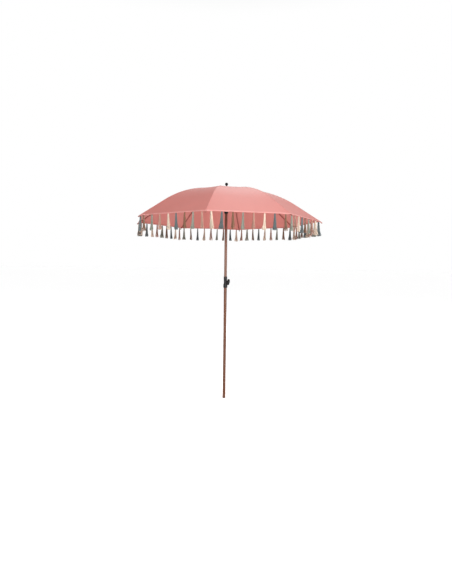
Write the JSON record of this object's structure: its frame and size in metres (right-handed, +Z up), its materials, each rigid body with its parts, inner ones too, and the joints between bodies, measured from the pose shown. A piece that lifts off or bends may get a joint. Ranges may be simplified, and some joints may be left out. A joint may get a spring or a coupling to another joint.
{
  "type": "garden parasol",
  "caption": "Fringed garden parasol: bowed octagonal cloth canopy with tassels, folding ribs and stretchers, sliding runner, two-tube pole with height clamp.",
  "frame": {"origin": "centre of the flat lower end of the pole", "axes": "+Z up along the pole; -Y out along rib 1; +X out along rib 3"},
  "size_m": [2.2164, 2.2164, 2.534],
  "materials": {
    "lower_tube_paint": "satin",
    "upper_tube_paint": "satin",
    "rib_paint": "satin",
    "black_plastic": "matte",
    "zinc_steel": "satin",
    "canopy_cloth": "matte",
    "fringe_cotton": "matte"
  },
  "bodies": {
    "lower_pole": {"lower_pole": "lower_tube_paint", "pole_foot_plug": "black_plastic", "clamp_collar": "black_plastic"},
    "clamp_knob": {"clamp_knob": "black_plastic"},
    "pole_bush": {"pole_bush": "black_plastic"},
    "upper_pole": {"upper_pole": "upper_tube_paint", "top_hub": "black_plastic", "hub_ring_wire": "zinc_steel", "finial": "black_plastic"},
    "runner": {"runner": "black_plastic", "runner_ring_wire": "zinc_steel"},
    "runner_button": {"runner_button": "zinc_steel"},
    "rib_1": {"rib_1": "rib_paint", "rib_tip_1": "black_plastic", "rib_bracket_1": "zinc_steel"},
    "stretcher_1": {"stretcher_1": "rib_paint"},
    "panel_1": {"canopy_panel_1": "canopy_cloth"},
    "fringe_1": {"fringe_1": "fringe_cotton"},
    "rib_2": {"rib_2": "rib_paint", "rib_tip_2": "black_plastic", "rib_bracket_2": "zinc_steel"},
    "stretcher_2": {"stretcher_2": "rib_paint"},
    "panel_2": {"canopy_panel_2": "canopy_cloth"},
    "fringe_2": {"fringe_2": "fringe_cotton"},
    "rib_3": {"rib_3": "rib_paint", "rib_tip_3": "black_plastic", "rib_bracket_3": "zinc_steel"},
    "stretcher_3": {"stretcher_3": "rib_paint"},
    "panel_3": {"canopy_panel_3": "canopy_cloth"},
    "fringe_3": {"fringe_3": "fringe_cotton"},
    "rib_4": {"rib_4": "rib_paint", "rib_tip_4": "black_plastic", "rib_bracket_4": "zinc_steel"},
    "stretcher_4": {"stretcher_4": "rib_paint"},
    "panel_4": {"canopy_panel_4": "canopy_cloth"},
    "fringe_4": {"fringe_4": "fringe_cotton"},
    "rib_5": {"rib_5": "rib_paint", "rib_tip_5": "black_plastic", "rib_bracket_5": "zinc_steel"},
    "stretcher_5": {"stretcher_5": "rib_paint"},
    "panel_5": {"canopy_panel_5": "canopy_cloth"},
    "fringe_5": {"fringe_5": "fringe_cotton"},
    "rib_6": {"rib_6": "rib_paint", "rib_tip_6": "black_plastic", "rib_bracket_6": "zinc_steel"},
    "stretcher_6": {"stretcher_6": "rib_paint"},
    "panel_6": {"canopy_panel_6": "canopy_cloth"},
    "fringe_6": {"fringe_6": "fringe_cotton"},
    "rib_7": {"rib_7": "rib_paint", "rib_tip_7": "black_plastic", "rib_bracket_7": "zinc_steel"},
    "stretcher_7": {"stretcher_7": "rib_paint"},
    "panel_7": {"canopy_panel_7": "canopy_cloth"},
    "fringe_7": {"fringe_7": "fringe_cotton"},
    "rib_8": {"rib_8": "rib_paint", "rib_tip_8": "black_plastic", "rib_bracket_8": "zinc_steel"},
    "stretcher_8": {"stretcher_8": "rib_paint"},
    "panel_8": {"canopy_panel_8": "canopy_cloth"},
    "fringe_8": {"fringe_8": "fringe_cotton"}
  },
  "joints": [
    {"name": "clamp_knob_turn", "type": "hinge", "parent": "lower_pole", "child": "clamp_knob", "pos_m": [0, 0, 1.373], "axis": [0.8637, -0.4592, -0.2079], "range_deg": [0, 450]},
    {"name": "pole_height", "type": "slide", "parent": "lower_pole", "child": "pole_bush", "axis": [0, 0, 1], "range_m": [0, 0.25]},
    {"name": "canopy_turn", "type": "hinge", "parent": "pole_bush", "child": "upper_pole", "pos_m": [0, 0, 1], "axis": [0, 0, 1], "continuous": true},
    {"name": "canopy_fold", "type": "hinge", "parent": "upper_pole", "child": "rib_1", "pos_m": [0, -0.03, 2.44974], "axis": [1, 0, 0], "range_deg": [0, 64.5]},
    {"name": "rib_2_fold", "type": "hinge", "parent": "upper_pole", "child": "rib_2", "pos_m": [0.02121, -0.02121, 2.44974], "axis": [0.7071, 0.7071, 0], "range_deg": [0, 64.5]},
    {"name": "rib_3_fold", "type": "hinge", "parent": "upper_pole", "child": "rib_3", "pos_m": [0.03, 0, 2.44974], "axis": [0, 1, 0], "range_deg": [0, 64.5]},
    {"name": "rib_4_fold", "type": "hinge", "parent": "upper_pole", "child": "rib_4", "pos_m": [0.02121, 0.02121, 2.44974], "axis": [-0.7071, 0.7071, 0], "range_deg": [0, 64.5]},
    {"name": "rib_5_fold", "type": "hinge", "parent": "upper_pole", "child": "rib_5", "pos_m": [0, 0.03, 2.44974], "axis": [-1, 0, 0], "range_deg": [0, 64.5]},
    {"name": "rib_6_fold", "type": "hinge", "parent": "upper_pole", "child": "rib_6", "pos_m": [-0.02121, 0.02121, 2.44974], "axis": [-0.7071, -0.7071, 0], "range_deg": [0, 64.5]},
    {"name": "rib_7_fold", "type": "hinge", "parent": "upper_pole", "child": "rib_7", "pos_m": [-0.03, 0, 2.44974], "axis": [0, -1, 0], "range_deg": [0, 64.5]},
    {"name": "rib_8_fold", "type": "hinge", "parent": "upper_pole", "child": "rib_8", "pos_m": [-0.02121, -0.02121, 2.44974], "axis": [0.7071, -0.7071, 0], "range_deg": [0, 64.5]},
    {"name": "stretcher_1_fold", "type": "hinge", "parent": "rib_1", "child": "stretcher_1", "pos_m": [0, -0.45523, 2.39367], "axis": [1, 0, 0], "range_deg": [-129, 0]},
    {"name": "stretcher_2_fold", "type": "hinge", "parent": "rib_2", "child": "stretcher_2", "pos_m": [0.32189, -0.32189, 2.39367], "axis": [0.7071, 0.7071, 0], "range_deg": [-129, 0]},
    {"name": "stretcher_3_fold", "type": "hinge", "parent": "rib_3", "child": "stretcher_3", "pos_m": [0.45523, 0, 2.39367], "axis": [0, 1, 0], "range_deg": [-129, 0]},
    {"name": "stretcher_4_fold", "type": "hinge", "parent": "rib_4", "child": "stretcher_4", "pos_m": [0.32189, 0.32189, 2.39367], "axis": [-0.7071, 0.7071, 0], "range_deg": [-129, 0]},
    {"name": "stretcher_5_fold", "type": "hinge", "parent": "rib_5", "child": "stretcher_5", "pos_m": [0, 0.45523, 2.39367], "axis": [-1, 0, 0], "range_deg": [-129, 0]},
    {"name": "stretcher_6_fold", "type": "hinge", "parent": "rib_6", "child": "stretcher_6", "pos_m": [-0.32189, 0.32189, 2.39367], "axis": [-0.7071, -0.7071, 0], "range_deg": [-129, 0]},
    {"name": "stretcher_7_fold", "type": "hinge", "parent": "rib_7", "child": "stretcher_7", "pos_m": [-0.45523, 0, 2.39367], "axis": [0, -1, 0], "range_deg": [-129, 0]},
    {"name": "stretcher_8_fold", "type": "hinge", "parent": "rib_8", "child": "stretcher_8", "pos_m": [-0.32189, -0.32189, 2.39367], "axis": [0.7071, -0.7071, 0], "range_deg": [-129, 0]},
    {"name": "runner_pivot", "type": "hinge", "parent": "stretcher_1", "child": "runner", "pos_m": [0, -0.03, 2.3376], "axis": [1, 0, 0], "range_deg": [0, 64.5]},
    {"name": "runner_button_press", "type": "slide", "parent": "runner", "child": "runner_button", "axis": [0, 1, 0], "range_m": [0, 0.0022], "stiffness_N_per_m": 800, "springref_m": -0.002},
    {"name": "panel_1_fold", "type": "hinge", "parent": "upper_pole", "child": "panel_1", "pos_m": [0.01148, -0.02772, 2.44974], "axis": [0.9239, 0.3827, 0], "range_deg": [0, 64.5], "deforming": ["canopy_panel_1"]},
    {"name": "fringe_1_hang", "type": "hinge", "parent": "panel_1", "child": "fringe_1", "pos_m": [0.38484, -0.9291, 2.06657], "axis": [0.9239, 0.3827, 0], "range_deg": [-64.5, 0], "deforming": ["fringe_1"]},
    {"name": "panel_2_fold", "type": "hinge", "parent": "upper_pole", "child": "panel_2", "pos_m": [0.02772, -0.01148, 2.44974], "axis": [0.3827, 0.9239, 0], "range_deg": [0, 64.5], "deforming": ["canopy_panel_2"]},
    {"name": "fringe_2_hang", "type": "hinge", "parent": "panel_2", "child": "fringe_2", "pos_m": [0.9291, -0.38484, 2.06657], "axis": [0.3827, 0.9239, 0], "range_deg": [-64.5, 0], "deforming": ["fringe_2"]},
    {"name": "panel_3_fold", "type": "hinge", "parent": "upper_pole", "child": "panel_3", "pos_m": [0.02772, 0.01148, 2.44974], "axis": [-0.3827, 0.9239, 0], "range_deg": [0, 64.5], "deforming": ["canopy_panel_3"]},
    {"name": "fringe_3_hang", "type": "hinge", "parent": "panel_3", "child": "fringe_3", "pos_m": [0.9291, 0.38484, 2.06657], "axis": [-0.3827, 0.9239, 0], "range_deg": [-64.5, 0], "deforming": ["fringe_3"]},
    {"name": "panel_4_fold", "type": "hinge", "parent": "upper_pole", "child": "panel_4", "pos_m": [0.01148, 0.02772, 2.44974], "axis": [-0.9239, 0.3827, 0], "range_deg": [0, 64.5], "deforming": ["canopy_panel_4"]},
    {"name": "fringe_4_hang", "type": "hinge", "parent": "panel_4", "child": "fringe_4", "pos_m": [0.38484, 0.9291, 2.06657], "axis": [-0.9239, 0.3827, 0], "range_deg": [-64.5, 0], "deforming": ["fringe_4"]},
    {"name": "panel_5_fold", "type": "hinge", "parent": "upper_pole", "child": "panel_5", "pos_m": [-0.01148, 0.02772, 2.44974], "axis": [-0.9239, -0.3827, 0], "range_deg": [0, 64.5], "deforming": ["canopy_panel_5"]},
    {"name": "fringe_5_hang", "type": "hinge", "parent": "panel_5", "child": "fringe_5", "pos_m": [-0.38484, 0.9291, 2.06657], "axis": [-0.9239, -0.3827, 0], "range_deg": [-64.5, 0], "deforming": ["fringe_5"]},
    {"name": "panel_6_fold", "type": "hinge", "parent": "upper_pole", "child": "panel_6", "pos_m": [-0.02772, 0.01148, 2.44974], "axis": [-0.3827, -0.9239, 0], "range_deg": [0, 64.5], "deforming": ["canopy_panel_6"]},
    {"name": "fringe_6_hang", "type": "hinge", "parent": "panel_6", "child": "fringe_6", "pos_m": [-0.9291, 0.38484, 2.06657], "axis": [-0.3827, -0.9239, 0], "range_deg": [-64.5, 0], "deforming": ["fringe_6"]},
    {"name": "panel_7_fold", "type": "hinge", "parent": "upper_pole", "child": "panel_7", "pos_m": [-0.02772, -0.01148, 2.44974], "axis": [0.3827, -0.9239, 0], "range_deg": [0, 64.5], "deforming": ["canopy_panel_7"]},
    {"name": "fringe_7_hang", "type": "hinge", "parent": "panel_7", "child": "fringe_7", "pos_m": [-0.9291, -0.38484, 2.06657], "axis": [0.3827, -0.9239, 0], "range_deg": [-64.5, 0], "deforming": ["fringe_7"]},
    {"name": "panel_8_fold", "type": "hinge", "parent": "upper_pole", "child": "panel_8", "pos_m": [-0.01148, -0.02772, 2.44974], "axis": [0.9239, -0.3827, 0], "range_deg": [0, 64.5], "deforming": ["canopy_panel_8"]},
    {"name": "fringe_8_hang", "type": "hinge", "parent": "panel_8", "child": "fringe_8", "pos_m": [-0.38484, -0.9291, 2.06657], "axis": [0.9239, -0.3827, 0], "range_deg": [-64.5, 0], "deforming": ["fringe_8"]}
  ],
  "couplings": [
    {"joint": "rib_2_fold", "follows": "canopy_fold", "ratio": 1},
    {"joint": "rib_3_fold", "follows": "canopy_fold", "ratio": 1},
    {"joint": "rib_4_fold", "follows": "canopy_fold", "ratio": 1},
    {"joint": "rib_5_fold", "follows": "canopy_fold", "ratio": 1},
    {"joint": "rib_6_fold", "follows": "canopy_fold", "ratio": 1},
    {"joint": "rib_7_fold", "follows": "canopy_fold", "ratio": 1},
    {"joint": "rib_8_fold", "follows": "canopy_fold", "ratio": 1},
    {"joint": "stretcher_1_fold", "follows": "canopy_fold", "ratio": -2},
    {"joint": "stretcher_2_fold", "follows": "canopy_fold", "ratio": -2},
    {"joint": "stretcher_3_fold", "follows": "canopy_fold", "ratio": -2},
    {"joint": "stretcher_4_fold", "follows": "canopy_fold", "ratio": -2},
    {"joint": "stretcher_5_fold", "follows": "canopy_fold", "ratio": -2},
    {"joint": "stretcher_6_fold", "follows": "canopy_fold", "ratio": -2},
    {"joint": "stretcher_7_fold", "follows": "canopy_fold", "ratio": -2},
    {"joint": "stretcher_8_fold", "follows": "canopy_fold", "ratio": -2},
    {"joint": "runner_pivot", "follows": "canopy_fold", "ratio": 1},
    {"joint": "panel_1_fold", "follows": "canopy_fold", "ratio": 1},
    {"joint": "fringe_1_hang", "follows": "canopy_fold", "ratio": -1},
    {"joint": "panel_2_fold", "follows": "canopy_fold", "ratio": 1},
    {"joint": "fringe_2_hang", "follows": "canopy_fold", "ratio": -1},
    {"joint": "panel_3_fold", "follows": "canopy_fold", "ratio": 1},
    {"joint": "fringe_3_hang", "follows": "canopy_fold", "ratio": -1},
    {"joint": "panel_4_fold", "follows": "canopy_fold", "ratio": 1},
    {"joint": "fringe_4_hang", "follows": "canopy_fold", "ratio": -1},
    {"joint": "panel_5_fold", "follows": "canopy_fold", "ratio": 1},
    {"joint": "fringe_5_hang", "follows": "canopy_fold", "ratio": -1},
    {"joint": "panel_6_fold", "follows": "canopy_fold", "ratio": 1},
    {"joint": "fringe_6_hang", "follows": "canopy_fold", "ratio": -1},
    {"joint": "panel_7_fold", "follows": "canopy_fold", "ratio": 1},
    {"joint": "fringe_7_hang", "follows": "canopy_fold", "ratio": -1},
    {"joint": "panel_8_fold", "follows": "canopy_fold", "ratio": 1},
    {"joint": "fringe_8_hang", "follows": "canopy_fold", "ratio": -1}
  ]
}
